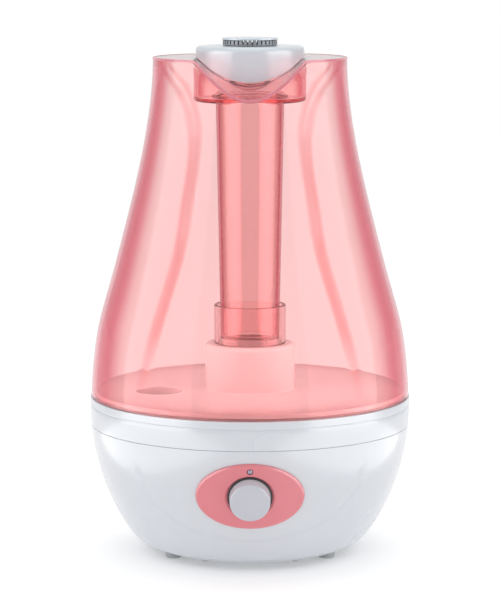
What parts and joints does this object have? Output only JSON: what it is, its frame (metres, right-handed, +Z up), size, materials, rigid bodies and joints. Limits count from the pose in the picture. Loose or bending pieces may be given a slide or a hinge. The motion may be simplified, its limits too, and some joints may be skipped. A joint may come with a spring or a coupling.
{
  "type": "cool mist humidifier",
  "caption": "Pear-shaped ultrasonic humidifier: clear tinted lift-off tank with a mist pipe and turning nozzle on a round white base with a control knob.",
  "frame": {"origin": "on the ground, under the middle of the overall box; the body's upright axis stands 3.0 mm behind it, because the knob stands out in front", "axes": "+Z up, the control panel faces -Y, +X to the right as seen from the front"},
  "size_m": [0.2, 0.2061, 0.3208],
  "materials": {
    "aluminium": "plain",
    "black_plastic": "moulded",
    "board_green": "solder mask",
    "brass": "plain",
    "capacitor_blue": "sleeved",
    "ceramic": "coated piezo disc",
    "ferrite": "wound core",
    "float_foam": "closed-cell foam",
    "floor_pink": "clear tinted plastic",
    "glass": "clear",
    "knob_grey": "satin moulded plastic",
    "led_blue": "tinted lens, unlit",
    "nozzle_white": "satin white moulded plastic",
    "panel_pink": "satin moulded plastic",
    "pipe_pink": "clear tinted plastic",
    "rotor_grey": "matt moulded plastic",
    "rubber": "matt light grey",
    "screw_steel": "zinc plated",
    "silicone": "translucent silicone",
    "spring_steel": "bright wire",
    "tank_pink": "clear tinted plastic",
    "white_abs": "glossy white moulded plastic"
  },
  "bodies": {
    "base": {"air_duct": "black_plastic", "base_bowl": "white_abs", "board_screw_1": "screw_steel", "board_screw_2": "screw_steel", "board_screw_3": "screw_steel", "board_screw_4": "screw_steel", "bottom_cover": "white_abs", "capacitor_1": "capacitor_blue", "capacitor_2": "capacitor_blue", "case_screw_1": "screw_steel", "case_screw_2": "screw_steel", "case_screw_3": "screw_steel", "case_screw_4": "screw_steel", "clamp_screw_1": "screw_steel", "clamp_screw_2": "screw_steel", "control_panel": "panel_pink", "driver_board": "board_green", "fan_frame": "black_plastic", "fan_screw_1": "screw_steel", "fan_screw_2": "screw_steel", "fan_screw_3": "screw_steel", "fan_screw_4": "screw_steel", "float_clip": "white_abs", "foot_1": "rubber", "foot_2": "rubber", "foot_3": "rubber", "foot_4": "rubber", "heatsink": "aluminium", "indicator_led": "glass", "indicator_lens": "led_blue", "inductor": "ferrite", "jack_nut": "screw_steel", "potentiometer_body": "black_plastic", "potentiometer_nut": "brass", "power_jack": "black_plastic", "power_transistor": "black_plastic", "reed_switch": "glass", "transducer_clamp": "aluminium", "transducer_disc": "ceramic", "transducer_seal": "silicone", "upper_deck": "white_abs"},
    "knob": {"knob": "knob_grey", "potentiometer_shaft": "aluminium"},
    "fan": {"fan_rotor": "black_plastic"},
    "float": {"water_float": "float_foam"},
    "tank": {"tank_shell": "tank_pink", "tank_floor": "floor_pink", "mist_pipe": "pipe_pink"},
    "cap_travel": {"filler_seal": "silicone"},
    "cap": {"filler_cap": "white_abs"},
    "valve": {"valve_pin": "rotor_grey", "valve_seal": "silicone", "valve_spring": "spring_steel"},
    "cover": {"nozzle_cover": "nozzle_white"},
    "rotor": {"nozzle_rotor": "rotor_grey", "nozzle_cap": "nozzle_white"}
  },
  "joints": [
    {"name": "knob_turn", "type": "hinge", "parent": "base", "child": "knob", "pos_m": [0, -0.0911, 0.0525], "axis": [0, 0.9598, 0.2806], "range_deg": [0, 280]},
    {"name": "fan_spin", "type": "hinge", "parent": "base", "child": "fan", "pos_m": [0, 0.02004, 0.02], "axis": [0, 0, 1], "continuous": true},
    {"name": "float_rise", "type": "slide", "parent": "base", "child": "float", "axis": [0, 0, 1], "range_m": [0, 0.008]},
    {"name": "tank_lift", "type": "slide", "parent": "base", "child": "tank", "axis": [0, 0, 1], "range_m": [0, 0.12]},
    {"name": "cap_travel", "type": "slide", "parent": "tank", "child": "cap_travel", "axis": [0, 0, -1], "range_m": [0, 0.00301]},
    {"name": "cap_turn", "type": "hinge", "parent": "cap_travel", "child": "cap", "pos_m": [-0.05628, -0.01099, 0.085], "axis": [0, 0, -1], "range_deg": [0, 270]},
    {"name": "valve_drop", "type": "slide", "parent": "tank", "child": "valve", "axis": [0, 0, -1], "range_m": [0, 0.003], "deforming": ["valve_spring"]},
    {"name": "cover_lift", "type": "slide", "parent": "tank", "child": "cover", "axis": [0, 0, 1], "range_m": [0, 0.045]},
    {"name": "nozzle_spin", "type": "hinge", "parent": "cover", "child": "rotor", "pos_m": [0, 0.00304, 0.318], "axis": [0, 0, 1], "continuous": true}
  ],
  "couplings": [
    {"joint": "cap_travel", "follows": "cap_turn", "m_per_rad": 0.0006366},
    {"joint": "valve_drop", "follows": "tank_lift", "ratio": 0.0249}
  ]
}
